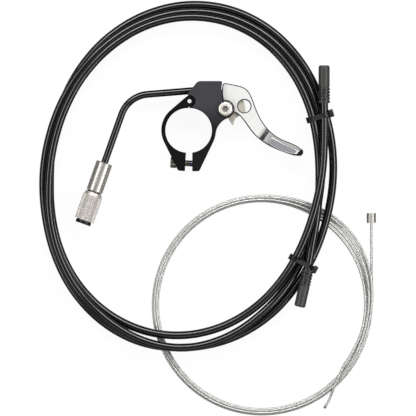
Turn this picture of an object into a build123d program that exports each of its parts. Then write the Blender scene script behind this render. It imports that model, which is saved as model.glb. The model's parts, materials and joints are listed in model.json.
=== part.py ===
from build123d import *
import os
from math import acos, atan2, cos, degrees, hypot, pi, radians, sin, sqrt, tan

# Handlebar remote of a dropper seatpost, laid out as a kit on a flat surface: the lever on its bar clamp
# with its bent guide tube and barrel adjuster, a tied bundle of outer housing, and a coil of inner cable.
# Millimetres. The origin is the centre of the bar bore on the surface, and +Z runs along that bore.

# Clearances
assembly_gap = 0.02
running_gap = 0.05
passing_gap = 0.3
overrun_length = 1.0

# Bar clamp
bar_diameter = 22.2
bar_gap = 0.1
ring_wall = 2.0
clamp_height = 12.0
edge_break_width = 0.45
hinge_pin_diameter = 2.0
hinge_pin_inset_depth = 0.1
knuckle_wall = 1.75
knuckle_rise_height = 0.6
knuckle_leaf_height = 3.4
ear_gap = 1.6
ear_shift_width = 0.6
ear_length = 9.2
ear_tip_width = 3.9
ear_corner_radius = 1.2
ear_web_thickness = 3.65
strap_open_angle = 3.5

# Clamp bolt, an M3 cap screw
bolt_diameter = 3.0
bolt_length = 10.0
bolt_head_diameter = 5.5
bolt_head_height = 3.0
bolt_socket_width = 2.5
bolt_socket_depth = 1.3
bolt_edge_distance = 3.95
bolt_hole_gap = 0.2
bolt_recess_gap = 0.25
bolt_swing_gap = 0.45
bolt_chamfer_width = 0.35
bolt_lead = 12.0

# Lever pivot, with the heights of its fork as shares of the clamp's height
pivot_wall_distance = 9.6
pivot_angle = 30.75
lug_radius = 4.6
tine_share = 0.183
pivot_head_diameter = 7.6
pivot_head_height = 2.2
pivot_head_round_radius = 1.3
pivot_socket_width = 3.0
pivot_socket_depth = 1.3
shoulder_diameter = 5.0
thread_diameter = 4.0
thread_end_gap = 0.2
bush_wall = 0.65
washer_height = 0.3
washer_width = 0.8

# Head of the clamp body
head_rise_height = 13.95
head_corner_radius = 3.0
head_tip_radius = 0.8
face_setback_distance = 1.65
face_bow_depth = 0.6
neck_angle = -70.0
neck_foot_angle = -5.0
neck_sag_depth = 1.35

# Lever
lever_reach = 44.8
lever_low_gap = 0.5
lever_high_gap = 0.4
lever_corner_drop_height = 0.6
lever_corner_radius = 1.4
ply_share = 0.237
hub_radius = 4.4
window_radius_share = 0.0703
window_distance_share = 0.2143
window_angle = 8.7
window_break_width = 0.5
paddle_low_height = 0.9
paddle_rise_height = 0.9
fold_angle = -34.7
fold_start_share = 0.475
fold_end_share = 0.569
fold_rise_shares = ((0.0, 0.0), (0.24, 0.1), (0.78, 0.9), (1.0, 1.0))
lever_edge_break_width = 0.5
ledge_depth = 0.6
panel_depth = 0.3
pad_edge_break_width = 0.15
tip_slope = 48.0
pad_end = 5
pad_shares = (
    (0.517, -0.303), (0.59, -0.348), (0.667, -0.397), (0.729, -0.428), (0.803, -0.455),
    (0.83, -0.467), (0.796, -0.505), (0.745, -0.501), (0.695, -0.49), (0.611, -0.459),
    (0.524, -0.416), (0.476, -0.382),
)
panel_shares = (
    (0.515, -0.329), (0.59, -0.367), (0.667, -0.408), (0.729, -0.437), (0.796, -0.468),
    (0.774, -0.496), (0.739, -0.492), (0.695, -0.482), (0.611, -0.452), (0.526, -0.409),
    (0.486, -0.38),
)

# Cable quadrant under the lever
quadrant_radius = 10.0
quadrant_share = 0.303
groove_depth = 0.5
groove_cut_radius = 0.7
quadrant_start_angle = 126.0
quadrant_end_angle = -12.0
pocket_gap = 0.6
spur_pocket_radius = 7.0
lever_travel = 34.0
dowel_diameter = 1.6
dowel_length = 3.4
dowel_bite_depth = 1.3
dowel_distance = 6.3
dowel_angles = (92.0, 36.0)
pinch_diameter = 3.0
pinch_head_diameter = 5.0
pinch_head_height = 1.5
pinch_socket_width = 2.0
pinch_socket_depth = 0.9
pinch_washer_diameter = 5.8
pinch_washer_height = 0.5
pinch_distance = 7.3
pinch_angle = 62.0

# Return spring
spring_wire_share = 0.079
spring_radius = 3.9
spring_turns = 2
spring_angle = 120.0
spring_leg_length = 3.8
spring_bend_radius = 0.65
spring_peg_depth = 1.0

# Guide tube and its liner
tube_diameter = 3.5
tube_bore = 2.3
liner_bore = 1.5
liner_reach = 0.8
tube_tilt = 4.7
tube_rise_distance = 1.05
tube_first_leg = 31.2
tube_second_leg = 35.4
tube_bend = 65.8
tube_bend_radius = 15.0
socket_depth = 7.0
cable_hole_diameter = 1.8

# Barrel adjuster
sleeve_diameter = 8.2
sleeve_length = 15.3
sleeve_chamfer_width = 0.35
tube_seat_depth = 4.5
stem_diameter = 6.0
stem_length = 8.0
stem_bore = 2.6
barrel_diameter = 9.8
barrel_length = 14.6
barrel_gap = 0.6
shoulder_length = 1.7
knurl_count = 40
knurl_depth = 0.28
ring_section_diameter = 0.5
stop_flange_diameter = 7.8
stop_flange_height = 1.8
stop_body_diameter = 6.7
stop_body_length = 4.3
stop_gap = 0.1
stop_hole_diameter = 1.6
housing_seat_depth = 4.1

# Outer housing, its loops, end caps and ties
housing_diameter = 4.0
housing_gap = 0.55
housing_centre = (-2.0, -23.0)
housing_loop_radius = 76.1
housing_stretch_length = 7.1
housing_lean = 81.0
housing_reversal = 2.0
housing_reversal_round = 0.08
housing_climb_start = 1.75
housing_climb_end = 2.25
housing_rest_angle = 123.5
housing_lift_angle = 42.0
cap_diameter = 5.6
cap_rib_diameter = 5.9
cap_waist_diameter = 5.2
cap_length = 18.8
cap_grip_depth = 11.0
cap_collar_length = 1.2
cap_rib_count = 4
cap_rib_width = 0.85
cap_rib_gap = 0.7
cap_hole_diameter = 1.6
cap_end_round_radius = 1.0
tie_gap = 0.5
tie_thickness = 1.0
tie_width = 2.4
tie_head_width = 3.6
tie_head_height = 4.6
tie_head_length = 3.2
tie_head_rise_height = 1.9
tie_tail_length = 1.3
tie_angles = {"tie_upper": 23.8, "tie_lower": -35.2}

# Inner cable
wire_diameter = 1.2
wire_gap = 0.45
wire_centre = (37.1, -87.45)
wire_loop_radius = 54.65
wire_turns = 5
wire_reversal = 2.5
wire_reversal_round = 0.08
wire_climb_start = 2.25
wire_climb_end = 2.75
wire_lead_angle = -35.9
wire_tail_length = 22.5
wire_tail_level_length = 8.0
tip_length = 1.5
tip_diameter = 1.3
wire_head_diameter = 4.6
wire_head_length = 4.85
wire_head_bite_depth = 4.0
wire_head_place = (90.98, -46.22)
wire_landing_place = (91.3, -66.0)

# Sizes worked out from those above
bore_radius = bar_diameter / 2 + bar_gap
ring_radius = bore_radius + ring_wall
knuckle_radius = hinge_pin_diameter / 2 + knuckle_wall
hinge_y = bore_radius + knuckle_radius + knuckle_rise_height
body_ear_x = ear_shift_width + ear_gap / 2
strap_ear_x = ear_shift_width - ear_gap / 2
ear_end_y = -(bore_radius + ear_length)
bolt_y = ear_end_y + bolt_edge_distance
bolt_seat_x = strap_ear_x - ear_web_thickness
bolt_rest_travel = bolt_lead * radians(strap_open_angle)
pivot_distance = bore_radius + pivot_wall_distance
pivot_x = pivot_distance * cos(radians(pivot_angle))
pivot_y = pivot_distance * sin(radians(pivot_angle))
head_top = pivot_y + head_rise_height
slot_low = tine_share * clamp_height
slot_high = clamp_height - slot_low
slot_height = slot_high - slot_low
lever_low = slot_low + lever_low_gap
lever_high = slot_high - lever_high_gap
paddle_high = clamp_height + paddle_rise_height
fold_start = fold_start_share * lever_reach
fold_end = fold_end_share * lever_reach
ledge_height = paddle_high - ledge_depth
ply_low = lever_high - ply_share * slot_height
quadrant_low = ply_low - quadrant_share * slot_height
cable_level = (ply_low + quadrant_low) / 2
spring_wire = spring_wire_share * slot_height
spring_low = slot_low + running_gap + spring_wire / 2
spring_pitch = (quadrant_low - spring_bend_radius - spring_low) / spring_turns
groove_radius = quadrant_radius - groove_depth
pocket_radius = quadrant_radius + pocket_gap
bush_radius = shoulder_diameter / 2 + running_gap + bush_wall
kit_span = 4 * ring_radius
housing_pitch = housing_diameter + housing_gap
wire_pitch = wire_diameter + wire_gap


def polar(radius, angle, centre=(0, 0)):
    """A point at a distance and an angle in degrees from a centre."""
    return (centre[0] + radius * cos(radians(angle)), centre[1] + radius * sin(radians(angle)))


def disc(radius, centre=(0, 0)):
    return Pos(centre[0], centre[1]) * Circle(radius)


def hull(*shapes):
    return make_hull([edge for shape in shapes for edge in shape.edges()])


def plate(profile, low, high):
    return extrude(Pos(0, 0, low) * profile, amount=high - low)


def rod(radius, low, high, centre=(0, 0)):
    return plate(disc(radius, centre), low, high)


def hexagon(width):
    return RegularPolygon(width / 2, 6, major_radius=False)


def x_rod(radius, x_low, x_high, y, z):
    return Pos((x_low + x_high) / 2, y, z) * Rot(0, 90, 0) * Cylinder(radius, x_high - x_low)


# Bar clamp

pivot = (pivot_x, pivot_y)
hinge = (0, hinge_y)
clamp_middle = clamp_height / 2


def ear_profile(face_x, side):
    """Ring and ear of one clamp half, tangent to each other, before the bore is cut."""
    corner = (face_x + side * (ear_tip_width - ear_corner_radius), ear_end_y + ear_corner_radius)
    inner = (face_x - side * ear_corner_radius, ear_end_y + ear_corner_radius)
    return hull(Circle(ring_radius), disc(ear_corner_radius, corner), disc(ear_corner_radius, inner))


def clamp_side(low_x, high_x):
    """Strip of the plane that a clamp half keeps: one edge below the bar's centre, another above it."""
    side = 1 if high_x >= 0 and low_x >= 0 else -1
    lower = Pos(low_x + side * kit_span / 2, -kit_span / 2) * Rectangle(kit_span, kit_span)
    upper = Pos(high_x + side * kit_span / 2, kit_span / 2) * Rectangle(kit_span, kit_span)
    return lower + upper


def stop_face(foot_radius, top, gap):
    """Bowed face where lever and body meet, from a circle about the pivot up to the top."""
    offset = face_setback_distance - face_bow_depth + gap
    bottom = (pivot_x - offset, pivot_y + sqrt(foot_radius ** 2 - offset ** 2))
    middle = (pivot_x - face_setback_distance - gap, (bottom[1] + top) / 2)
    return bottom, middle, (pivot_x - offset, top)


def head_profile():
    """Head of the body: foot at the hinge, rounded top, bowed stop face, and the neck below the lug."""
    foot_shares = (-0.36, 1.33)
    corner_share = 0.3
    foot = (foot_shares[0] * knuckle_radius, hinge_y + foot_shares[1] * knuckle_radius)
    corner = (corner_share * head_rise_height, head_top)
    face_bottom, face_middle, tip = stop_face(lug_radius, head_top, passing_gap)
    lug_foot = polar(lug_radius, neck_angle, pivot)
    ring_foot = polar(ring_radius, neck_foot_angle)
    chord = (ring_foot[0] - lug_foot[0], ring_foot[1] - lug_foot[1])
    length = hypot(*chord)
    neck_middle = (
        (lug_foot[0] + ring_foot[0]) / 2 + neck_sag_depth * chord[1] / length,
        (lug_foot[1] + ring_foot[1]) / 2 - neck_sag_depth * chord[0] / length,
    )
    edges = [
        Line(hinge, foot),
        Line(foot, corner),
        Line(corner, tip),
        ThreePointArc(tip, face_middle, face_bottom),
        Line(face_bottom, pivot),
        Line(pivot, lug_foot),
        ThreePointArc(lug_foot, neck_middle, ring_foot),
        Line(ring_foot, hinge),
    ]
    face = make_face(edges)
    rounded = fillet(face.vertices().sort_by_distance(corner)[0], head_corner_radius)
    return fillet(rounded.vertices().sort_by_distance(tip)[0], head_tip_radius)


def clamp_body_shape():
    ring = (ear_profile(body_ear_x, 1) & clamp_side(body_ear_x, 0))
    profile = ring + head_profile() + disc(lug_radius, pivot) + disc(knuckle_radius, hinge)
    body = plate(profile - Circle(bore_radius), 0, clamp_height)
    outline = body.faces().sort_by(Axis.Z)[-1].edges() + body.faces().sort_by(Axis.Z)[0].edges()
    body = chamfer(outline, edge_break_width)
    leaf = knuckle_radius + passing_gap
    body -= rod(leaf, -overrun_length, knuckle_leaf_height + passing_gap, hinge)
    body -= rod(leaf, clamp_height - knuckle_leaf_height - passing_gap, clamp_height + overrun_length, hinge)
    body -= rod(hinge_pin_diameter / 2 + assembly_gap, 0, clamp_height, hinge)
    body -= rod(hub_radius + passing_gap, slot_low, slot_high, pivot)
    body -= quadrant_pocket()
    shoulder_hole = shoulder_diameter / 2 + running_gap
    body -= rod(shoulder_hole, slot_high - overrun_length, clamp_height + overrun_length, pivot)
    body -= rod(thread_diameter / 2 + assembly_gap, -overrun_length, slot_low + overrun_length, pivot)
    bolt_hole = bolt_diameter / 2 + bolt_swing_gap
    body -= x_rod(bolt_hole, body_ear_x - overrun_length, ring_radius, bolt_y, clamp_middle)
    leg_hole, _ = spring_holes()
    return body - leg_hole - tube_socket()


def quadrant_pocket():
    """Room for the quadrant's sector and for its spur as the lever turns."""
    radius = pocket_radius - passing_gap / 2
    start = quadrant_start_angle + degrees(passing_gap / quadrant_radius) * 2
    arc = ThreePointArc(polar(radius, start, pivot), polar(radius, start / 2, pivot), polar(radius, 0, pivot))
    sector = make_face([arc, Line(arc @ 1, pivot), Line(pivot, arc @ 0)])
    return plate(
        sector + disc(spur_pocket_radius, pivot),
        quadrant_low - passing_gap,
        ply_low + passing_gap,
    )


def clamp_strap_shape():
    arm = hull(Circle(ring_radius), disc(knuckle_radius, hinge))
    profile = (ear_profile(strap_ear_x, -1) + arm) & clamp_side(strap_ear_x, -passing_gap)
    strap = plate(profile + disc(knuckle_radius, hinge) - Circle(bore_radius), 0, clamp_height)
    outline = strap.faces().sort_by(Axis.Z)[-1].edges() + strap.faces().sort_by(Axis.Z)[0].edges()
    strap = chamfer(outline, edge_break_width)
    strap -= rod(knuckle_radius + passing_gap, knuckle_leaf_height, clamp_height - knuckle_leaf_height, hinge)
    pin_hole = hinge_pin_diameter / 2 + running_gap
    strap -= rod(pin_hole, -overrun_length, clamp_height + overrun_length, hinge)
    bolt_hole = bolt_diameter / 2 + bolt_hole_gap
    strap -= x_rod(bolt_hole, -kit_span, strap_ear_x + overrun_length, bolt_y, clamp_middle)
    recess = bolt_head_diameter / 2 + bolt_recess_gap
    return strap - x_rod(recess, -kit_span, bolt_seat_x, bolt_y, clamp_middle)


def clamp_bolt_shape():
    """Cap screw along +X, drawn in the closed strap and backed out to its rest place, just off its seat."""
    head = x_rod(bolt_head_diameter / 2, bolt_seat_x - bolt_head_height, bolt_seat_x, bolt_y, clamp_middle)
    head = chamfer(head.edges().sort_by(Axis.X)[0], bolt_chamfer_width)
    socket_plane = Plane((bolt_seat_x - bolt_head_height, bolt_y, clamp_middle), z_dir=(1, 0, 0))
    head -= extrude(socket_plane * hexagon(bolt_socket_width), amount=bolt_socket_depth)
    shank = x_rod(bolt_diameter / 2, bolt_seat_x, bolt_seat_x + bolt_length, bolt_y, clamp_middle)
    shank = chamfer(shank.edges().sort_by(Axis.X)[-1], bolt_chamfer_width)
    return Pos(-bolt_rest_travel - running_gap, 0, 0) * (head + shank)


def opened(shape):
    """Turns a piece of the strap from its closed place to its rest place about the hinge."""
    return Pos(0, hinge_y, 0) * Rot(0, 0, -strap_open_angle) * Pos(0, -hinge_y, 0) * shape


# Lever and its pivot


def lever_outline():
    """Plan of the lever, from its stop face over the top, round the paddle and back to the hub."""
    shoulder_shares = ((0.142, 0.841), (0.235, 0.710), (0.288, 0.472), (0.337, 0.058))
    back_shares = ((0.446, -0.185), (0.614, -0.330), (0.802, -0.414), (0.839, -0.442))
    tip_share = (0.870, -0.482)
    front_shares = ((0.830, -0.522), (0.773, -0.517), (0.664, -0.483), (0.555, -0.440), (0.403, -0.353))
    root_shares = ((0.301, -0.258), (0.206, -0.127))
    hub_shares = (1.28, -0.47)

    def at(share):
        return (pivot_x + lever_reach * share[0], pivot_y + lever_reach * share[1])

    lever_top = head_top - lever_corner_drop_height
    face_bottom, face_middle, corner = stop_face(hub_radius, lever_top, 0)
    hub_point = (pivot_x + hub_shares[0] * hub_radius, pivot_y + hub_shares[1] * hub_radius)
    shoulder = [(pivot_x + lever_reach * x, pivot_y + head_rise_height * y) for x, y in shoulder_shares]
    back = Spline([corner] + shoulder + [at(share) for share in back_shares])
    tip = ThreePointArc(back @ 1, at(tip_share), at(front_shares[0]))
    front = Spline([at(share) for share in front_shares + root_shares] + [hub_point])
    edges = [
        ThreePointArc(face_bottom, face_middle, corner),
        back,
        tip,
        front,
        Line(hub_point, pivot),
        Line(pivot, face_bottom),
    ]
    blade = make_face(edges)
    blade = fillet(blade.vertices().sort_by_distance(corner)[0], lever_corner_radius)
    return blade + disc(hub_radius, pivot)


def fold_plane():
    """Upright plane through the pivot, along the arm: its x runs out along the arm and its y is up."""
    along = polar(1, fold_angle)
    return Plane((pivot_x, pivot_y, 0), x_dir=(along[0], along[1], 0), z_dir=(along[1], -along[0], 0))


def fold_line(low, high):
    """Soft step of the fold between two heights, seen along the lever's edge."""
    span = fold_end - fold_start
    return [(fold_start + span * along, low + (high - low) * up) for along, up in fold_rise_shares]


def on_top(edge):
    """True for an edge between the lever's upper faces and its upright sides."""
    middle = fold_plane().to_local_coords(edge @ 0.5)
    steps = fold_line(lever_high, ledge_height)
    upper = lever_high if middle.X < fold_start else ledge_height
    for (near, near_up), (far, far_up) in zip(steps, steps[1:]):
        if near <= middle.X <= far:
            upper = near_up + (far_up - near_up) * (middle.X - near) / (far - near)
    across = abs((edge % 0.5).dot(Vector(*polar(1, fold_angle + 90), 0))) > 0.98
    return abs(middle.Y - upper) < assembly_gap and not across


def on_lever(shares):
    """Points given as shares of the lever's reach from its pivot."""
    return [(pivot_x + lever_reach * x, pivot_y + lever_reach * y) for x, y in shares]


def lever_shape():
    reach = lever_reach + kit_span
    side = [(-reach, lever_low)] + fold_line(lever_low, paddle_low_height) + [(reach, paddle_low_height)]
    side += [(reach, ledge_height)] + fold_line(lever_high, ledge_height)[::-1] + [(-reach, lever_high)]
    prism = extrude(fold_plane() * make_face(Polyline(*side, close=True)), amount=reach, both=True)
    lever = plate(lever_outline(), 0, paddle_high + overrun_length) & (prism - tip_cut())
    lever = lever.solids().sort_by(SortBy.VOLUME)[-1]
    lever = chamfer(lever.edges().filter_by(on_top), lever_edge_break_width)
    lever += paddle_pad()
    lever -= rod(pocket_radius, 0, ply_low, pivot)
    window = polar(window_distance_share * lever_reach, window_angle, pivot)
    window_radius = window_radius_share * lever_reach
    lever -= rod(window_radius, 0, clamp_height, window)
    flare = Cone(window_radius, window_radius + overrun_length, overrun_length)
    flare_middle = lever_high - window_break_width + overrun_length / 2
    lever -= Pos(*window, flare_middle) * flare
    lever -= rod(bush_radius + assembly_gap, 0, clamp_height, pivot)
    for angle in dowel_angles:
        place = polar(dowel_distance, angle, pivot)
        lever -= rod(dowel_diameter / 2 + assembly_gap, 0, ply_low + dowel_bite_depth + assembly_gap, place)
    return lever - panel_recess()


def tip_cut():
    """Slope that takes the paddle's top down to its tip, from the end of the pad on."""
    near, far = on_lever(pad_shares[pad_end:pad_end + 2])
    across = (Vector(*far, ledge_height) - Vector(*near, ledge_height)).normalized()
    ahead = across.cross(Vector(0, 0, 1)) * -1
    down = ahead * cos(radians(tip_slope)) - Vector(0, 0, sin(radians(tip_slope)))
    slope = Plane(Vector(*near, ledge_height), x_dir=across, z_dir=across.cross(down))
    return extrude(slope * Rectangle(kit_span, kit_span), amount=kit_span)


def paddle_pad():
    """Raised pad on the paddle, under the thumb."""
    outline = make_face(Polyline(*on_lever(pad_shares), close=True))
    pad = plate(outline, ledge_height - ledge_depth, paddle_high)
    return chamfer(pad.faces().sort_by(Axis.Z)[-1].edges(), pad_edge_break_width)


def panel_recess():
    """Shallow recess in the pad for its grip panel."""
    outline = make_face(Polyline(*on_lever(panel_shares), close=True))
    return plate(outline, paddle_high - panel_depth, paddle_high + overrun_length)


def pivot_screw_shape():
    head = rod(pivot_head_diameter / 2, clamp_height, clamp_height + pivot_head_height, pivot)
    head = fillet(head.edges().sort_by(Axis.Z)[-1], pivot_head_round_radius)
    head_top_z = clamp_height + pivot_head_height
    socket = Pos(pivot_x, pivot_y) * hexagon(pivot_socket_width)
    head -= plate(socket, head_top_z - pivot_socket_depth, head_top_z + overrun_length)
    shoulder = rod(shoulder_diameter / 2, slot_low, clamp_height, pivot)
    return head + shoulder + rod(thread_diameter / 2, thread_end_gap, slot_low, pivot)


def pivot_bush_shape():
    low = slot_low + washer_height + running_gap
    high = slot_high - washer_height - running_gap
    return rod(bush_radius, low, high, pivot) - rod(shoulder_diameter / 2 + running_gap, low, high, pivot)


def pivot_washers_shape():
    inner = shoulder_diameter / 2 + running_gap
    ring = disc(inner + washer_width, pivot) - disc(inner, pivot)
    lower = plate(ring, slot_low, slot_low + washer_height)
    return Compound([lower, plate(ring, slot_high - washer_height, slot_high)])


def quadrant_shape():
    """Grooved sector that the cable wraps, with the pointed spur that stops the lever's travel."""
    heel_shares = (0.75, 0.70)
    heel_angles = (-29.0, -47.0)
    spur_share = 0.88
    spur_angles = (-62.5, -66.5)
    root_share = 0.95
    root_angle = -74.0
    start = polar(quadrant_radius, quadrant_start_angle, pivot)
    end = polar(quadrant_radius, quadrant_end_angle, pivot)
    middle = polar(quadrant_radius, (quadrant_start_angle + quadrant_end_angle) / 2, pivot)
    heel = [polar(quadrant_radius * share, angle, pivot) for share, angle in zip(heel_shares, heel_angles)]
    spur = [polar(quadrant_radius * spur_share, angle, pivot) for angle in spur_angles]
    root = polar(hub_radius * root_share, root_angle, pivot)
    edges = [
        ThreePointArc(start, middle, end),
        ThreePointArc(end, heel[0], heel[1]),
        Line(heel[1], spur[0]),
        Line(spur[0], spur[1]),
        Line(spur[1], root),
        Line(root, pivot),
        Line(pivot, start),
    ]
    profile = make_face(edges) + disc(hub_radius, pivot)
    quadrant = plate(profile, quadrant_low, ply_low)
    quadrant -= Pos(pivot_x, pivot_y, cable_level) * Torus(groove_radius, groove_cut_radius)
    quadrant -= rod(bush_radius + assembly_gap, quadrant_low, ply_low, pivot)
    quadrant -= rod(pinch_diameter / 2 + assembly_gap, quadrant_low, ply_low, pinch_place())
    for angle in dowel_angles:
        place = polar(dowel_distance, angle, pivot)
        quadrant -= rod(dowel_diameter / 2 + assembly_gap, quadrant_low, ply_low, place)
    _, peg_hole = spring_holes()
    return quadrant - peg_hole


def pinch_place():
    return polar(pinch_distance, pinch_angle, pivot)


def dowels_shape():
    top = ply_low + dowel_bite_depth
    places = [polar(dowel_distance, angle, pivot) for angle in dowel_angles]
    return Compound([rod(dowel_diameter / 2, top - dowel_length, top, place) for place in places])


def pinch_screw_shape():
    """Screw from below that clamps the cable's end against the quadrant."""
    place = pinch_place()
    seat = quadrant_low - pinch_washer_height
    low = seat - pinch_head_height
    head = rod(pinch_head_diameter / 2, low, seat, place)
    socket = Pos(place[0], place[1]) * hexagon(pinch_socket_width)
    head -= plate(socket, low, low + pinch_socket_depth)
    return head + rod(pinch_diameter / 2, seat, ply_low - running_gap, place)


def pinch_washer_shape():
    place = pinch_place()
    low = quadrant_low - pinch_washer_height
    ring = rod(pinch_washer_diameter / 2, low, quadrant_low, place)
    return ring - rod(pinch_diameter / 2 + assembly_gap, low, quadrant_low, place)


# Wound pieces: each is one tube along arcs that meet without a corner


def arc_between(start, tangent, end):
    """Arc, or line, that leaves start along a unit tangent and passes through end, with its radius."""
    chord = end - start
    length = chord.length
    along = chord * (1 / length)
    cosine = max(-1.0, min(1.0, tangent.dot(along)))
    half_turn = acos(cosine)
    if half_turn < 1e-6:
        return Line(start, end), float("inf")
    side = (tangent - along * cosine).normalized()
    middle = start + chord * 0.5 + side * (length / 2 * tan(half_turn / 2))
    return ThreePointArc(start, middle, end), length / (2 * sin(half_turn))


def biarc(start, start_tangent, end, end_tangent):
    """Two arcs from one point and direction to another."""
    chord = end - start
    both = chord.dot(start_tangent + end_tangent)
    square = chord.dot(chord)
    bend = 2 * (1 - start_tangent.dot(end_tangent))
    reach = square / (2 * both) if bend < 1e-9 else (sqrt(both * both + bend * square) - both) / bend
    joint = (start + start_tangent * reach + end - end_tangent * reach) * 0.5
    first, first_radius = arc_between(start, start_tangent, joint)
    second, second_radius = arc_between(end, end_tangent * -1, joint)
    if isinstance(second, Line):
        second = Line(joint, end)
    else:
        second = ThreePointArc(joint, second @ 0.5, end)
    return [first, second], [first_radius, second_radius]


def wound_path(stations):
    """Edges and radii of the path through stations, each a point and a unit direction."""
    edges, radii = [], []
    for (start, start_tangent), (end, end_tangent) in zip(stations, stations[1:]):
        along = (end - start).normalized()
        if along.dot(start_tangent) > 1 - 1e-9 and start_tangent.dot(end_tangent) > 1 - 1e-9:
            edges.append(Line(start, end))
            continue
        pair, pair_radii = biarc(start, start_tangent, end, end_tangent)
        edges += pair
        radii += pair_radii
    return edges, radii


def tube_along(edges, start, tangent, diameter):
    section = Plane(start, z_dir=tangent) * Circle(diameter / 2)
    return sweep(section, path=Wire(edges))


def path_points(edges, per_edge=24):
    """Points along a path with their distance from its start."""
    rows, travelled = [], 0.0
    for edge in edges:
        for step in range(per_edge):
            share = step / per_edge
            point = edge @ share
            rows.append((travelled + share * edge.length, point.X, point.Y, point.Z))
        travelled += edge.length
    last = edges[-1] @ 1
    rows.append((travelled, last.X, last.Y, last.Z))
    return rows


def least_gap(rows, diameter, apart):
    """Least clear distance between stretches of one tube that lie apart along it."""
    least = float("inf")
    for index, (s, x, y, z) in enumerate(rows):
        for t, u, v, w in rows[index + 1:]:
            if t - s > apart:
                least = min(least, (x - u) ** 2 + (y - v) ** 2 + (z - w) ** 2)
    return sqrt(least) - diameter


def report_path(name, edges, radii, diameter, apart):
    rows = path_points(edges)
    low = min(row[3] for row in rows) - diameter / 2
    print(
        f"{name}: length {rows[-1][0]:.1f}, least radius {min(radii):.1f}, "
        f"least gap to itself {least_gap(rows, diameter, apart):.2f}, lowest point {low:.2f}"
    )
    return rows


def spiral(turn, reversal, rounding):
    """Sideways place in pitches: steadily inward to the reversal, then steadily out again."""
    return sqrt((turn - reversal) ** 2 + rounding ** 2) - reversal


def climb(turn, start, end):
    """Layer of a wound tube: 0 up to the climb, 1 after it, with an even slope between."""
    share = max(0.0, min(1.0, (turn - start) / (end - start)))
    return share * share * (3 - 2 * share)


def station(place, before, knot, after):
    """Point at a knot of (turn, sideways, layer), with the direction that its neighbours give it."""
    turn, side, layer = knot
    span = after[0] - before[0]
    side_rate, layer_rate = (after[1] - before[1]) / span, (after[2] - before[2]) / span
    step = 1e-4
    ahead = place(turn + step, side + step * side_rate, layer + step * layer_rate)
    behind = place(turn - step, side - step * side_rate, layer - step * layer_rate)
    return place(turn, side, layer), (ahead - behind).normalized()


def free_stations(place, knots):
    """Stations at all the knots of a free stretch but its first and last, which only give directions."""
    return [station(place, *three) for three in zip(knots, knots[1:], knots[2:])]


def coil_stations(place, knot_at, quarters):
    """Stations of a steady coil at every quarter turn."""
    step = 1e-4
    turns = [quarter / 4 for quarter in quarters]
    return [station(place, knot_at(turn - step), knot_at(turn), knot_at(turn + step)) for turn in turns]


# Outer housing


def housing_floor(angle):
    """Height of the lowest strand: on the surface at the far side, on the inner cable where they cross."""
    cable_top = 2 * wire_diameter + wire_gap
    rise = cable_top + passing_gap
    full_rise = rise / ((1 + cos(radians(housing_lift_angle))) / 2)
    away = radians(angle - housing_rest_angle - 180)
    return housing_diameter / 2 + full_rise * (1 + cos(away)) / 2


def housing_oval(angle):
    return housing_loop_radius + housing_stretch_length * cos(radians(2 * (angle - housing_lean)))


def housing_place(turn, side, layer):
    angle = 360 * turn
    x, y = polar(housing_oval(angle) + housing_pitch * (1 + side), angle, housing_centre)
    return Vector(x, y, housing_floor(angle) + housing_pitch * layer)


def housing_knot(turn):
    side = spiral(turn, housing_reversal, housing_reversal_round)
    return turn, side, climb(turn, housing_climb_start, housing_climb_end)


housing_start_knots = [(-0.103, 0.01, 1.0), (-0.064, -0.30, 1.0), (-0.018, 0.06, 0.45), (0.030, 0.05, 0.0)]
housing_end_knots = [(2.75, -1.10, 1.0), (2.90, -1.80, 1.30), (3.00, -1.50, 1.50), (3.045, -0.70, 1.30)]
housing_end_knots += [(3.078, -0.07, 1.0)]
lower_cap_place = (59.1, -69.85)
lower_cap_angle = 257.3
upper_cap_place = (67.25, 13.65)
upper_cap_angle = 90.0
housing_quarters = range(1, 11)


def cap_mouth(place):
    """Middle of an end cap's mouth, high enough to clear the lowest strand."""
    angle = degrees(atan2(place[1] - housing_centre[1], place[0] - housing_centre[0]))
    rise = (housing_diameter + cap_rib_diameter) / 2 + passing_gap
    return Vector(*place, housing_floor(angle) + rise)


def housing_stations():
    first, last = housing_quarters[0] / 4, housing_quarters[-1] / 4
    low, high = cap_mouth(lower_cap_place), cap_mouth(upper_cap_place)
    out_low = Vector(*polar(1, lower_cap_angle), 0)
    out_high = Vector(*polar(1, upper_cap_angle), 0)
    lead = housing_diameter * 1.1
    stations = [(low + out_low * cap_grip_depth, out_low * -1), (low - out_low * lead, out_low * -1)]
    stations += free_stations(housing_place, housing_start_knots + [housing_knot(first)])
    stations += coil_stations(housing_place, housing_knot, housing_quarters)
    stations += free_stations(housing_place, [housing_knot(last)] + housing_end_knots)
    return stations + [(high - out_high * lead, out_high), (high + out_high * cap_grip_depth, out_high)]


def end_cap(mouth, angle):
    """Ribbed cap whose mouth faces the housing, closed but for the cable's hole."""
    pitch = cap_rib_width + cap_rib_gap
    ribbed_length = cap_collar_length + cap_rib_gap + pitch * cap_rib_count
    cap = rod(cap_diameter / 2, ribbed_length, cap_length)
    cap = fillet(cap.edges().sort_by(Axis.Z)[-1], cap_end_round_radius)
    cap += rod(cap_waist_diameter / 2, 0, ribbed_length)
    cap += rod(cap_rib_diameter / 2, 0, cap_collar_length)
    for rib in range(cap_rib_count):
        low = cap_collar_length + cap_rib_gap + pitch * rib
        cap += rod(cap_rib_diameter / 2, low, low + cap_rib_width)
    cap -= rod(housing_diameter / 2 + running_gap, 0, cap_grip_depth + running_gap)
    cap -= rod(cap_hole_diameter / 2, 0, cap_length)
    out = polar(1, angle)
    return Plane(mouth, x_dir=(0, 0, 1), z_dir=(out[0], out[1], 0)).location * cap


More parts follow.
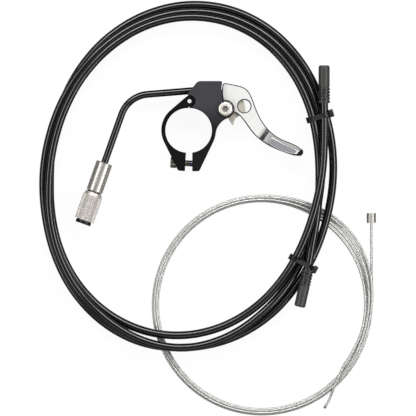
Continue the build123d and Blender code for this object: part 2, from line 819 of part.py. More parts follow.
def crossings(plane, rows):
    """Places in a plane where the housing passes through it, near the plane's origin."""
    local = [plane.to_local_coords(Vector(*row[1:])) for row in rows]
    found = []
    for before, after in zip(local, local[1:]):
        if before.Z * after.Z <= 0 and abs(before.X) < housing_pitch * 4:
            share = before.Z / (before.Z - after.Z)
            place = before + (after - before) * share
            found.append((place.X, place.Y))
    return found


def tie_shape(angle, rows):
    """Band drawn round the strands square to them, with its head and cut tail at the outer side."""
    step = 1e-3
    oval = housing_oval(angle)
    slope = degrees(atan2((housing_oval(angle + step) - oval) / radians(step), oval))
    out = polar(1, angle - slope)
    middle = Vector(*polar(oval, angle, housing_centre), 0)
    plane = Plane(middle, x_dir=(out[0], out[1], 0), z_dir=(out[1], -out[0], 0))
    places = []
    for offset in (-tie_head_width / 2, 0, tie_head_width / 2):
        places += crossings(plane.offset(offset), rows)
    inner_radius = housing_diameter / 2 + tie_gap
    inner = hull(*[disc(inner_radius, place) for place in places])
    outer = hull(*[disc(inner_radius + tie_thickness, place) for place in places])
    far = max(place[0] for place in places)
    top = max(place[1] for place in places) + inner_radius + tie_head_rise_height
    head = Pos(far, top - tie_head_height / 2) * Rectangle(tie_head_length, tie_head_height)
    tail_place = Pos(far + tie_head_length / 2, top - tie_head_rise_height / 2)
    tail = tail_place * Rectangle(2 * tie_tail_length, tie_thickness)
    band = extrude(plane * (outer - inner), amount=tie_width / 2, both=True)
    band += extrude(plane * (head - inner), amount=tie_head_width / 2, both=True)
    return band + extrude(plane * (tail - inner), amount=tie_width / 2, both=True)


# Inner cable


def wire_place(turn, side, layer):
    x, y = polar(wire_loop_radius + wire_pitch * side, -360 * turn, wire_centre)
    return Vector(x, y, wire_diameter / 2 + wire_pitch * layer)


def wire_knot(turn):
    side = spiral(turn, wire_reversal, wire_reversal_round)
    return turn, side, climb(turn, wire_climb_start, wire_climb_end)


def wire_stations():
    """From the head down to the coil, round it, and off along the straight tail to the cut end."""
    head = Vector(*wire_head_place, wire_head_diameter / 2)
    down = Vector(0, -1, 0)
    landing = Vector(*wire_landing_place, wire_diameter / 2)
    stations = [(head - down * wire_head_bite_depth, down), (head + down * wire_diameter * 1.5, down)]
    stations += [(landing, down)] + coil_stations(wire_place, wire_knot, range(4 * wire_turns + 1))
    tail = Vector(*polar(1, wire_lead_angle - 90), 0)
    leave = wire_place(*wire_knot(wire_turns - wire_lead_angle / 360))
    stations.append((leave, tail))
    level = leave + tail * wire_tail_level_length
    end = leave + tail * wire_tail_length
    end.Z = wire_diameter / 2
    lead = tail * (wire_diameter * 1.5)
    return stations + [(level, tail), (end - lead, tail), (end, tail)]


def wire_head_shape():
    head = rod(wire_head_diameter / 2, 0, wire_head_length)
    head -= rod(wire_diameter / 2 + assembly_gap, 0, wire_head_bite_depth + assembly_gap)
    mouth = (*wire_head_place, wire_head_diameter / 2)
    return Plane(mouth, x_dir=(0, 0, 1), z_dir=(0, 1, 0)).location * head


def wire_tip_shape(end, tangent):
    return extrude(Plane(end, z_dir=tangent) * Circle(tip_diameter / 2), amount=tip_length)


# Guide tube and adjuster


def tube_axis():
    """Points of the guide tube's axis: inner end, mouth of its socket, corner and end in the adjuster."""
    back = (-cos(radians(tube_tilt)), -sin(radians(tube_tilt)))
    offset = groove_radius + tube_rise_distance
    near = (pivot_x + offset * back[1], pivot_y - offset * back[0])
    mouth_share = 0.03
    along = (near[0] - mouth_share * head_rise_height) / -back[0]
    mouth = (near[0] + along * back[0], near[1] + along * back[1])
    inner = (mouth[0] - socket_depth * back[0], mouth[1] - socket_depth * back[1])
    corner = (mouth[0] + tube_first_leg * back[0], mouth[1] + tube_first_leg * back[1])
    down = polar(1, 180 + tube_tilt + tube_bend)
    sleeve = (corner[0] + tube_second_leg * down[0], corner[1] + tube_second_leg * down[1])
    end = (sleeve[0] + tube_seat_depth * down[0], sleeve[1] + tube_seat_depth * down[1])
    return inner, mouth, corner, sleeve, end, down


def bent_tube(outer, inner, reach):
    """Hollow tube along the guide tube's axis, longer than it by a reach at each end."""
    near, _, corner, _, far, down = tube_axis()
    back = Vector(corner[0] - near[0], corner[1] - near[1], 0).normalized()
    first = Vector(*near, cable_level) - back * reach
    last = Vector(*far, cable_level) + Vector(*down, 0) * reach
    path = FilletPolyline(first, Vector(*corner, cable_level), last, radius=tube_bend_radius)
    section = Plane(first, z_dir=back) * (Circle(outer / 2) - Circle(inner / 2))
    return sweep(section, path=path)


def tube_socket():
    """Socket for the guide tube and the cable's hole from it, aimed at the top of the quadrant's groove."""
    inner, _, corner, _, _, _ = tube_axis()
    bottom = Vector(*inner, cable_level)
    back = (Vector(*corner, cable_level) - bottom).normalized()
    bore = Plane(bottom, z_dir=back) * Circle(tube_diameter / 2 + assembly_gap)
    socket = extrude(bore, amount=socket_depth + head_rise_height)
    aim = Vector(pivot_x, pivot_y + groove_radius, cable_level) - bottom
    hole = extrude(Plane(bottom, z_dir=aim) * Circle(cable_hole_diameter / 2), amount=aim.length)
    start = bottom - back * (liner_reach + assembly_gap)
    liner_room = extrude(
        Plane(start, z_dir=back) * Circle(tube_bore / 2 + assembly_gap), amount=liner_reach + overrun_length
    )
    return socket + hole + liner_room


def on_adjuster(shape):
    """Places a piece drawn along +Z from the sleeve's first face."""
    _, _, _, sleeve, _, down = tube_axis()
    return Plane((*sleeve, cable_level), x_dir=(0, 0, 1), z_dir=(down[0], down[1], 0)).location * shape


barrel_low = sleeve_length + barrel_gap
barrel_high = barrel_low + barrel_length
stop_low = barrel_high + stop_gap - stop_body_length
stop_high = barrel_high + stop_gap + stop_flange_height


def sleeve_shape():
    sleeve = rod(sleeve_diameter / 2, 0, sleeve_length)
    sleeve = chamfer(sleeve.edges(), sleeve_chamfer_width)
    sleeve -= rod(tube_diameter / 2 + assembly_gap, 0, tube_seat_depth)
    return sleeve - rod(stem_diameter / 2 + running_gap, tube_seat_depth, sleeve_length)


def barrel_shape():
    crest, root = barrel_diameter / 2, barrel_diameter / 2 - knurl_depth
    step = 180 / knurl_count
    teeth = [polar(crest if i % 2 else root, i * step) for i in range(2 * knurl_count)]
    low = barrel_low + shoulder_length
    barrel = plate(make_face(Polyline(*teeth, close=True)), low, barrel_high)
    shoulder = Pos(0, 0, (barrel_low + low) / 2) * Cone(sleeve_diameter / 2, root, shoulder_length)
    barrel += shoulder
    barrel += rod(stem_diameter / 2, barrel_low - stem_length, barrel_low)
    barrel -= rod(stem_bore / 2, barrel_low - stem_length, barrel_high)
    return barrel - rod(stop_body_diameter / 2 + running_gap, stop_low - stop_gap, barrel_high)


def adjuster_ring_shape():
    radius = stem_diameter / 2 + running_gap + ring_section_diameter / 2
    return Pos(0, 0, sleeve_length + barrel_gap / 2) * Torus(radius, ring_section_diameter / 2)


def housing_stop_shape():
    stop = rod(stop_body_diameter / 2, stop_low, barrel_high + stop_gap)
    stop += rod(stop_flange_diameter / 2, barrel_high + stop_gap, stop_high)
    stop -= rod(housing_diameter / 2 + assembly_gap * 5, stop_high - housing_seat_depth, stop_high)
    return stop - rod(stop_hole_diameter / 2, stop_low, stop_high)


# Return spring


def spring_stations():
    """From the leg held in the body, round the coil, and up to the peg held in the quadrant."""

    def place(turn, side, layer):
        x, y = polar(spring_radius, spring_angle - 360 * turn, pivot)
        return Vector(x, y, spring_low + spring_pitch * turn)

    def knot(turn):
        return turn, 0, 0

    coil = coil_stations(place, knot, range(4 * spring_turns + 1))
    first, first_way = coil[0]
    last, last_way = coil[-1]
    leg_way = Vector(first_way.X, first_way.Y, 0).normalized()
    up = Vector(0, 0, 1)
    peg = last + (last_way + up) * spring_bend_radius
    peg_end = Vector(peg.X, peg.Y, quadrant_low + spring_peg_depth)
    return [(first - leg_way * spring_leg_length, leg_way)] + coil + [(peg, up), (peg_end, up)]


def spring_holes():
    """Room for the spring's two ends."""
    stations = spring_stations()
    hole = Circle(spring_wire / 2 + assembly_gap)
    room = spring_leg_length - 2 * spring_wire
    leg, leg_way = stations[0]
    peg, peg_way = stations[-1]
    leg_hole = extrude(Plane(leg - leg_way * assembly_gap, z_dir=leg_way) * hole, amount=room)
    return leg_hole, extrude(Plane(peg + peg_way * assembly_gap, z_dir=-peg_way) * hole, amount=room)


# Every node is written to its own file

wound = {
    "housing_coil": (housing_stations(), housing_diameter, housing_loop_radius),
    "inner_cable_coil": (wire_stations(), wire_diameter, wire_loop_radius),
    "return_spring": (spring_stations(), spring_wire, spring_radius * 2),
}
nodes = {}
rows_of = {}
for name, (stations, diameter, apart) in wound.items():
    edges, radii = wound_path(stations)
    rows_of[name] = report_path(name, edges, radii, diameter, apart)
    nodes[name] = tube_along(edges, stations[0][0], stations[0][1], diameter)

wire_end, wire_way = wire_stations()[-1]
nodes["clamp_body"] = clamp_body_shape()
nodes["clamp_strap"] = opened(clamp_strap_shape())
nodes["clamp_bolt"] = opened(clamp_bolt_shape())
pin_top = clamp_height - hinge_pin_inset_depth
nodes["strap_hinge_pin"] = rod(hinge_pin_diameter / 2, hinge_pin_inset_depth, pin_top, hinge)
nodes["lever_blade"] = lever_shape()
nodes["pivot_screw"] = pivot_screw_shape()
nodes["pivot_bush"] = pivot_bush_shape()
nodes["pivot_washers"] = pivot_washers_shape()
nodes["cable_quadrant"] = quadrant_shape()
nodes["quadrant_dowels"] = dowels_shape()
nodes["pinch_screw"] = pinch_screw_shape()
nodes["pinch_washer"] = pinch_washer_shape()
nodes["noodle_tube"] = bent_tube(tube_diameter, tube_bore, 0)
nodes["noodle_liner"] = bent_tube(tube_bore - 2 * assembly_gap, liner_bore, liner_reach)
nodes["adjuster_sleeve"] = on_adjuster(sleeve_shape())
nodes["adjuster_barrel"] = on_adjuster(barrel_shape())
nodes["adjuster_o_ring"] = on_adjuster(adjuster_ring_shape())
nodes["housing_stop"] = on_adjuster(housing_stop_shape())
nodes["end_cap_lower"] = end_cap(cap_mouth(lower_cap_place), lower_cap_angle)
nodes["end_cap_upper"] = end_cap(cap_mouth(upper_cap_place), upper_cap_angle)
for name, angle in tie_angles.items():
    nodes[name] = tie_shape(angle, rows_of["housing_coil"])
nodes["cable_head"] = wire_head_shape()
nodes["cable_tip"] = wire_tip_shape(wire_end, wire_way)

os.makedirs("parts", exist_ok=True)
for name, shape in nodes.items():
    export_step(shape, f"parts/{name}.step")
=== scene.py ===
"""Looks of a handlebar remote kit: lever on its bar clamp, tied housing bundle and loose inner cable.

Lengths in the tables and dataclass fields are millimetres in the part's own frame; meshes are in metres.
"""

import json
import logging
import math
from dataclasses import dataclass
from enum import Enum
from typing import Any, Iterable, Sequence, Union

import bmesh
import bpy
from mathutils import Matrix, Vector


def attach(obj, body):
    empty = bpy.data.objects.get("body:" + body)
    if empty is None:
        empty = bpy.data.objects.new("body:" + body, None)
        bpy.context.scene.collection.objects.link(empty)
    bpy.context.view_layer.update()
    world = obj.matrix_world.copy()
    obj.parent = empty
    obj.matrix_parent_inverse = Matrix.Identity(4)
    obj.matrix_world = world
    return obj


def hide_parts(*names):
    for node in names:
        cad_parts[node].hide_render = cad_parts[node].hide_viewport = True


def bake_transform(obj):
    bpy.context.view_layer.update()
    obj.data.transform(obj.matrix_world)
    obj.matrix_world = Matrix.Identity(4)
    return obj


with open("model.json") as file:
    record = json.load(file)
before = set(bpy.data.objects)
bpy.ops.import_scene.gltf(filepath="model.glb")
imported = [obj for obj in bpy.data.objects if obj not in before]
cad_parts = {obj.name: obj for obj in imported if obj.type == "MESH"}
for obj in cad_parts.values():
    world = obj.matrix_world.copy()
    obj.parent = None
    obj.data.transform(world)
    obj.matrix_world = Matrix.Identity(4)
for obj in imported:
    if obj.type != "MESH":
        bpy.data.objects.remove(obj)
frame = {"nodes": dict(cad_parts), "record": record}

log = logging.getLogger("remote_kit")

Colour = tuple[float, float, float]
Point = tuple[float, float, float]
Pair = tuple[float, float]
Number = Union[float, "Value"]
Owner = Union[bpy.types.Material, bpy.types.World]

MM = 0.001
TO_MM: Point = (1 / MM, 1 / MM, 1 / MM)
WHITE: Colour = (1.0, 1.0, 1.0)
BLACK: Colour = (0.0, 0.0, 0.0)


class Body(Enum):
    """CAD bodies that new pieces ride on."""

    REMOTE = "remote_body"
    LEVER = "lever"


# Shader maths


class Value:
    """A number that varies over a surface: one output socket, with Python's operators."""

    def __init__(self, tree: "Shader", socket: bpy.types.NodeSocket) -> None:
        """Wraps an output socket of a shader."""
        self.tree = tree
        self.socket = socket

    def _math(self, operation: str, *values: Number) -> "Value":
        """The result of one Math node, with its inputs in order."""
        return self.tree.node("ShaderNodeMath", {"operation": operation}, dict(enumerate(values)))

    def __add__(self, other: Number) -> "Value":
        """Sum."""
        return self._math("ADD", self, other)

    __radd__ = __add__

    def __sub__(self, other: Number) -> "Value":
        """Difference."""
        return self._math("SUBTRACT", self, other)

    def __rsub__(self, other: Number) -> "Value":
        """Difference with the number first."""
        return self._math("SUBTRACT", other, self)

    def __mul__(self, other: Number) -> "Value":
        """Product."""
        return self._math("MULTIPLY", self, other)

    __rmul__ = __mul__

    def __gt__(self, other: Number) -> "Value":
        """1 where this is greater."""
        return self._math("GREATER_THAN", self, other)

    def __lt__(self, other: Number) -> "Value":
        """1 where this is less."""
        return self._math("LESS_THAN", self, other)

    def sine(self) -> "Value":
        """Sine of this value in radians."""
        return self._math("SINE", self)

    def absolute(self) -> "Value":
        """Size without sign."""
        return self._math("ABSOLUTE", self)

    def ramp(self, low: float, high: float) -> "Value":
        """Smooth step from 0 at the low value to 1 at the high one."""
        settings = {"interpolation_type": "SMOOTHSTEP"}
        return self.tree.node("ShaderNodeMapRange", settings, {0: self, 1: low, 2: high, 3: 0.0, 4: 1.0})


class Shader:
    def __init__(self, owner: Owner, surface: str = "Principled BSDF") -> None:
        """Opens the tree of a material or of the world.

        Args:
            owner: the material or world.
            surface: the name of its main node.
        """
        owner.use_nodes = True
        self.owner = owner
        self.nodes = owner.node_tree.nodes
        self.links = owner.node_tree.links
        self.surface = self.nodes[surface]

    def node(self, kind: str, settings: dict[str, Any], inputs: dict[Any, Any], output: Any = 0) -> Value:
        """Adds any node.

        Args:
            kind: the node's type.
            settings: its properties, set before its sockets.
            inputs: numbers, vectors or values by socket name or index.
            output: the output socket's name or index.

        Returns:
            The output as a value.
        """
        made = self.nodes.new(kind)
        for key, setting in settings.items():
            setattr(made, key, setting)
        for key, given in inputs.items():
            self.feed(made.inputs[key], given)
        return Value(self, made.outputs[output])

    def feed(self, socket: bpy.types.NodeSocket, given: Any) -> None:
        """Links a value to a socket, or sets the socket's own number.

        Args:
            socket: the input socket.
            given: a value, a number or a colour.
        """
        if isinstance(given, Value):
            self.links.new(given.socket, socket)
        elif isinstance(given, tuple) and socket.type == "RGBA":
            socket.default_value = (*given, 1.0)
        else:
            socket.default_value = given

    def set(self, **inputs: Any) -> None:
        """Sets the main node's sockets by name, with _ for a space in a name."""
        for name, given in inputs.items():
            self.feed(self.surface.inputs[name.replace("_", " ")], given)

    def place(self) -> Value:
        """Object coordinates, in metres."""
        return self.node("ShaderNodeTexCoord", {}, {}, "Object")

    def rays(self) -> tuple[Value, Value]:
        """Which rays meet the surface.

        Returns:
            1 for camera rays, and 1 for glossy and transmission rays.
        """
        camera, glossy, through = (
            self.node("ShaderNodeLightPath", {}, {}, name)
            for name in ("Is Camera Ray", "Is Glossy Ray", "Is Transmission Ray")
        )
        return camera, glossy + through

    def along_cord(self) -> Value:
        """The cord's own map: along it in U and round it in V."""
        return self.node("ShaderNodeTexCoord", {}, {}, "UV")

    def part(self, vector: Value, axis: int) -> Value:
        """One coordinate of a vector, by its axis: 0, 1 or 2."""
        return self.node("ShaderNodeSeparateXYZ", {}, {0: vector}, axis)

    def level(self, place: Value, axis: int) -> Value:
        """One coordinate of a place in metres, as millimetres."""
        return self.part(place, axis) * (1 / MM)

    def stretched(self, vector: Value, scale: Point) -> Value:
        """The vector with each coordinate multiplied by its own factor."""
        return self.node("ShaderNodeVectorMath", {"operation": "MULTIPLY"}, {0: vector, 1: scale})

    def turned(self, vector: Value, angle: float, scale: Point, centre: Point = (0, 0, 0)) -> Value:
        """The vector seen from a centre, turned about Z and stretched.

        Args:
            vector: coordinates in metres.
            angle: degrees about Z.
            scale: factors along the turned axes.
            centre: millimetres.

        Returns:
            The new coordinates.
        """
        start = tuple(c * MM for c in centre)
        moved = self.node("ShaderNodeVectorMath", {"operation": "SUBTRACT"}, {0: vector, 1: start})
        turn = {"Vector": moved, "Rotation": (0, 0, -math.radians(angle)), "Scale": (1, 1, 1)}
        return self.stretched(self.node("ShaderNodeMapping", {}, turn), scale)

    def noise(self, vector: Value, size: float, detail: float = 3.0, roughness: float = 0.55) -> Value:
        """Soft noise from 0 to 1, in blotches of a size in millimetres, with finer octaves on them."""
        inputs = {"Vector": vector, "Scale": 1 / (size * MM), "Detail": detail, "Roughness": roughness}
        return self.node("ShaderNodeTexNoise", {}, inputs, "Fac")

    def mix(self, share: Number, low: Any, high: Any) -> Value:
        """The first colour where the share is 0, and the second where it is 1."""
        settings = {"data_type": "RGBA", "clamp_factor": True}
        return self.node("ShaderNodeMix", settings, {0: share, 6: low, 7: high}, 2)

    def flat(self, low: float = 0.95, high: float = 0.985) -> Value:
        """1 on faces that look straight up or down, 0 on edges and walls."""
        return self.part(self.node("ShaderNodeNewGeometry", {}, {}, "Normal"), 2).absolute().ramp(low, high)

    def bump(self, height: Value, depth: float, strength: float = 1.0) -> None:
        """Feeds the surface's normal from a height of 0 to 1, which is the depth in millimetres."""
        inputs = {"Height": height, "Distance": depth * MM, "Strength": strength}
        self.set(Normal=self.node("ShaderNodeBump", {}, inputs))


# Finishes


@dataclass(frozen=True)
class Finish:
    """A named finish; each kind below makes its own material."""

    name: str
    colour: Colour
    roughness: float

    def make(self) -> bpy.types.Material:
        """Makes the material.

        Returns:
            The finished material.
        """
        shader = Shader(bpy.data.materials.new(self.name))
        self.dress(shader)
        return shader.owner

    def dress(self, shader: Shader) -> None:
        """Sets the shader up; overridden by each kind."""
        shader.set(Base_Color=self.colour, Roughness=self.roughness)

    def shade(self, factor: float) -> Colour:
        """The colour made lighter or darker; a factor of 1 leaves it as it is."""
        return tuple(min(1.0, c * factor) for c in self.colour)

    def varied(self, shader: Shader, share: Value, spread: float) -> Value:
        """The colour, darker by the spread where the share is 0 and lighter by it where the share is 1."""
        return shader.mix(share, self.shade(1 - spread), self.shade(1 + spread))

    def dulled(self, share: Value, uneven: float) -> Value:
        """The roughness, lower where the share is 0 and higher where it is 1."""
        return self.roughness - uneven + 2 * uneven * share


@dataclass(frozen=True)
class Anodised(Finish):
    """Black anodised aluminium, or a black lacquer where its grain is shallow, with slight clouds."""

    grain: float = 0.12
    depth: float = 0.012
    specular: float = 0.5
    # painted shade, darker towards low Y: the heights along Y where it is full and where it ends, by default
    # below everything, and its near-black colour
    painted_shade_fade: Pair = (-1000.0, -999.0)
    painted_shade_colour: Colour = (0.004, 0.0035, 0.0045)
    cloud: float = 6.0
    grain_share: float = 0.4
    spread: float = 0.18
    uneven: float = 0.06

    def dress(self, shader: Shader) -> None:
        """Blasted grain under a dark dyed layer, and painted shade that darkens it towards low Y across the
        fade.

        Args:
            shader: the material in the making.
        """
        place = shader.place()
        clouds = shader.noise(place, self.cloud, detail=2.0)
        grain = shader.noise(place, self.grain, detail=2.0, roughness=0.7)
        tone = clouds * (1 - self.grain_share) + grain * self.grain_share
        dye = self.varied(shader, tone, self.spread)
        shader.set(
            # painted shade: the colour turns near black towards low Y
            Base_Color=shader.mix(shader.level(place, 1).ramp(*self.painted_shade_fade), self.painted_shade_colour, dye),
            Roughness=self.dulled(grain, self.uneven),
            Specular_IOR_Level=self.specular,
        )
        shader.bump(grain, self.depth, strength=0.6)


@dataclass(frozen=True)
class Bare(Finish):
    """Bare or plated metal with drawn lines along one direction; its flat faces may be satin."""

    angle: float = 0.0
    stretch: float = 12.0
    line: float = 0.25
    depth: float = 0.004
    cloud: float = 5.0
    spread: float = 0.12
    satin: float = 0.0
    plating: float = 1.0
    line_share: float = 0.3
    uneven: float = 0.2
    satin_roughness: float = 0.2
    socket_level: float = -1.0
    painted_socket_shade: float = 0.3
    socket_share: float = 0.9

    def drawn(self, shader: Shader, place: Value) -> Value:
        """Fine lines from 0 to 1, drawn along the metal."""
        along = shader.turned(place, self.angle, (1 / self.stretch, 1, 1))
        return shader.noise(along, self.line, detail=3.0, roughness=0.6)

    def dress(self, shader: Shader) -> None:
        """Clouds and faint drawn lines in the metal, with painted shade down in a screw's socket.

        Args:
            shader: the material in the making.
        """
        place = shader.place()
        lines = self.drawn(shader, place)
        clouds = shader.noise(place, self.cloud, detail=3.0)
        tone = clouds * (1 - self.line_share) + lines * self.line_share
        metal = self.varied(shader, tone, self.spread)
        flat = shader.flat()
        # painted shade: the floor of a screw's socket is darker
        if self.socket_level > 0:
            sunk = (shader.level(place, 2) < self.socket_level) * self.socket_share
            metal = shader.mix(sunk, metal, self.shade(self.painted_socket_shade))
        worn = self.dulled(lines, self.roughness * self.uneven)
        shader.set(
            Base_Color=metal,
            Roughness=worn + flat * self.satin * self.satin_roughness,
            Metallic=self.plating - flat * self.satin,
        )
        shader.bump(lines, self.depth, strength=0.5)


@dataclass(frozen=True)
class Plated(Bare):
    """Nickel plate on the cable adjuster, drawn along its axis."""

    angle: float = 70.5
    line: float = 0.2
    depth: float = 0.002
    spread: float = 0.06
    plating: float = 0.8


@dataclass(frozen=True)
class Moulded(Finish):
    """Moulded or extruded plastic and rubber with a faint skin texture."""

    skin: float = 0.2
    depth: float = 0.01
    spread: float = 0.15
    uneven: float = 0.04

    def dress(self, shader: Shader) -> None:
        """Skin texture and slight colour change.

        Args:
            shader: the material in the making.
        """
        place = shader.place()
        skin = shader.noise(place, self.skin, detail=3.0, roughness=0.6)
        shader.set(
            Base_Color=self.varied(shader, skin, self.spread),
            Roughness=self.dulled(skin, self.uneven),
        )
        shader.bump(skin, self.depth, strength=0.5)


@dataclass(frozen=True)
class CapPlastic(Moulded):
    """Moulded end cap: streaked grey where it is smooth, with painted shade in the crimps round its ribs."""

    mouths: tuple[Pair, ...] = ((59.1, -69.85), (67.25, 13.65))
    angles: Pair = (257.3, 90.0)
    between: float = -30.0
    ribbed: Pair = (0.4, 8.0)
    pitch: float = 1.55
    ripple: float = 0.4
    wander: Point = (1.9, 1.3, 0.6)
    skin_relief: float = 0.2
    streak: float = 0.8
    streak_stretch: float = 10.0
    # how dark the painted shade in the crimps is
    painted_dent_shade: float = 0.15

    def dress(self, shader: Shader) -> None:
        """Crimp dents round each rib with painted shade in them, and paler skin where it is smooth.

        Args:
            shader: the material in the making.
        """
        place = shader.place()
        upper = shader.part(place, 1) > self.between * MM
        skin = shader.noise(place, self.skin, detail=3.0, roughness=0.6)
        low, high = self.ribbed
        sideways, onward, strength = self.wander
        dents_and_shade = 0.0
        for mouth, angle, here in zip(self.mouths, self.angles, (1 - upper, upper)):
            own = shader.turned(place, angle, TO_MM, (*mouth, 0.0))
            along, across = shader.part(own, 0), shader.part(own, 1)
            rows = (along * (2 * math.pi / self.pitch)).sine()
            rows = rows + (across * sideways + along * onward).sine() * strength
            dents_and_shade = dents_and_shade + (0.5 + rows * self.ripple) * (along < high) * (along > low) * here
        drawn = shader.turned(place, 90.0, (1 / self.streak_stretch, 1, 1))
        worn = self.varied(shader, shader.noise(drawn, self.streak, detail=2.0), self.spread)
        shader.set(
            # painted shade: the colour is darker where the crimp dents sink in
            Base_Color=shader.mix(dents_and_shade, worn, self.shade(self.painted_dent_shade)),
            Roughness=self.dulled(skin, self.uneven),
        )
        shader.bump(skin * self.skin_relief - dents_and_shade, self.depth, strength=0.7)


@dataclass(frozen=True)
class LeverMetal(Bare):
    """Polished lever blade, with the satin grey panel in its paddle's recess."""

    angle: float = 120.0
    stretch: float = 10.0
    line: float = 0.4
    cloud: float = 7.0
    line_share: float = 0.25
    # how dark the painted shade on edges and walls is
    painted_edge_shade: float = 0.55
    # painted shade on the flat ledge: its height, band, darkness and share
    ledge_level: float = 12.3
    ledge_band: float = 0.06
    painted_ledge_shade: float = 0.25
    ledge_share: float = 0.6
    panel: Colour = (0.33, 0.33, 0.36)
    panel_level: float = 12.6
    panel_band: float = 0.1

    def dress(self, shader: Shader) -> None:
        """Polished metal with painted shade on its edges and walls and on the ledge, and a grey layer on the
        floor of the recess alone.

        Args:
            shader: the material in the making.
        """
        place = shader.place()
        height = shader.level(place, 2)
        flat = shader.flat()
        floor = ((height - self.panel_level).absolute() < self.panel_band) * flat
        clouds = shader.noise(place, self.cloud, detail=4.0, roughness=0.6)
        lines = self.drawn(shader, place)
        tone = clouds * (1 - self.line_share) + lines * self.line_share
        # painted shade: faces that don't look straight up or down, such as edges and walls, are darker
        metal = shader.mix(flat, self.shade(self.painted_edge_shade), self.varied(shader, tone, self.spread))
        # painted shade: a dark band on the flat faces at the ledge's height
        ledge_shade_mask = ((height - self.ledge_level).absolute() < self.ledge_band) * flat
        metal = shader.mix(ledge_shade_mask * self.ledge_share, metal, self.shade(self.painted_ledge_shade))
        worn = self.dulled(clouds, self.roughness * self.uneven)
        shader.set(
            Base_Color=shader.mix(floor, metal, self.panel),
            Roughness=worn + flat * self.satin_roughness,
            Metallic=self.plating - flat * self.satin,
        )
        shader.bump(lines, self.depth, strength=0.5)


@dataclass(frozen=True)
class BoltMetal(Finish):
    """Plated bolt with a thread on its shank and a dab of blue thread lock."""

    centre: Point = (0.55, -16.45, 6.0)
    turn: float = 176.5
    pitch: float = 0.5
    thread_end: float = 3.2
    painted_groove_shade: float = 0.55
    groove_depth: float = 0.12
    dab_place: float = -0.5
    dab_reach: Pair = (1.1, 0.7)
    dab_side: Pair = (0.2, 0.9)
    ragged: float = 0.7
    ragged_share: float = 0.8
    dab: Colour = (0.01, 0.09, 0.42)
    dab_dullness: float = 0.25

    def dress(self, shader: Shader) -> None:
        """Thread grooves as bump along the shank with painted shade in them, and the dab.

        Args:
            shader: the material in the making.
        """
        place = shader.place()
        own = shader.turned(place, self.turn, TO_MM, self.centre)
        along, across = shader.part(own, 0), shader.part(own, 1)
        grooves = ((along * (2 * math.pi / self.pitch)).sine() * 0.5 + 0.5) * (along < self.thread_end)
        ragged = shader.noise(place, self.ragged, detail=2.0)
        away = (along + ragged * self.ragged_share - self.dab_place).absolute()
        dab = away.ramp(*self.dab_reach) * (across + ragged).ramp(*self.dab_side)
        # painted shade: the thread's grooves are darker
        threaded = shader.mix(grooves, self.shade(self.painted_groove_shade), self.colour)
        shader.set(
            Base_Color=shader.mix(dab, threaded, self.dab),
            Roughness=self.roughness + dab * self.dab_dullness,
            Metallic=1.0 - dab,
        )
        shader.bump(grooves, self.groove_depth)


@dataclass(frozen=True)
class Jacket(Finish):
    """Extruded gloss jacket: faint die lines along the housing and a soft skin."""

    die_lines: Point = (30.0, 6.0, 1.0)
    die_scale: float = 4.0
    tones: Pair = (0.75, 1.3)
    skin: float = 2.5
    depth: float = 0.003
    uneven: float = 0.04

    def dress(self, shader: Shader) -> None:
        """Gloss black with faint lines along the cord's own length.

        Args:
            shader: the material in the making.
        """
        drawn = shader.stretched(shader.along_cord(), self.die_lines)
        pattern = {"Vector": drawn, "Scale": self.die_scale, "Detail": 3.0}
        lines = shader.node("ShaderNodeTexNoise", {}, pattern, "Fac")
        skin = shader.noise(shader.place(), self.skin, detail=3.0)
        dark, light = self.tones
        shader.set(
            Base_Color=shader.mix(lines, self.shade(dark), self.shade(light)),
            Roughness=self.dulled(skin, self.uneven),
            Specular_IOR_Level=1.0,
        )
        shader.bump(skin, self.depth, strength=0.4)


@dataclass(frozen=True)
class Stranded(Finish):
    """Drawn wire laid up in a twist of fine strands."""

    turns: float = 290.0
    strands: float = 12.0
    depth: float = 0.006
    # darkest and lightest share of the colour, the darkest in the painted shade between the strands
    tones: Pair = (0.88, 1.1)
    spot: float = 3.0
    spot_share: float = 0.3
    spot_dullness: float = 0.1
    metallic: float = 0.9

    def dress(self, shader: Shader) -> None:
        """A fine twist from the cord's own map, with painted shade in the grooves between its strands.

        Args:
            shader: the material in the making.
        """
        cord = shader.along_cord()
        along, around = shader.part(cord, 0), shader.part(cord, 1)
        twist = along * (2 * math.pi * self.turns) + around * (2 * math.pi * self.strands)
        twist = twist.sine() * 0.5 + 0.5
        spots = shader.noise(shader.place(), self.spot, detail=3.0)
        # painted shade: the colour is darker in the twist's grooves between the strands; the spots vary it
        # at random
        tone = twist * (1 - self.spot_share) + spots * self.spot_share
        dark, light = self.tones
        shader.set(
            Base_Color=shader.mix(tone, self.shade(dark), self.shade(light)),
            Roughness=self.roughness + self.spot_dullness * spots,
            Metallic=self.metallic,
        )
        shader.bump(twist, self.depth, strength=0.5)


# Cords


CORD_RESOLUTION = 8


def eased(share: float) -> float:
    """Eased share from 0 to 1.

    Args:
        share: the plain share, cut at both ends.

    Returns:
        The eased share.
    """
    held = min(1.0, max(0.0, share))
    return held * held * (3 - 2 * held)


def outset(step: float) -> float:
    """How far out the control points of an arc lie, so that the line itself keeps the arc's radius.

    Args:
        step: degrees from one control point to the next.

    Returns:
        The factor on the radius.
    """
    return 1 / (0.75 + 0.25 * math.cos(math.radians(step)))


def metres(points: Iterable[Point]) -> list[Vector]:
    """Points in metres.

    Args:
        points: points in millimetres.

    Returns:
        The points as vectors.
    """
    return [Vector(p) * MM for p in points]


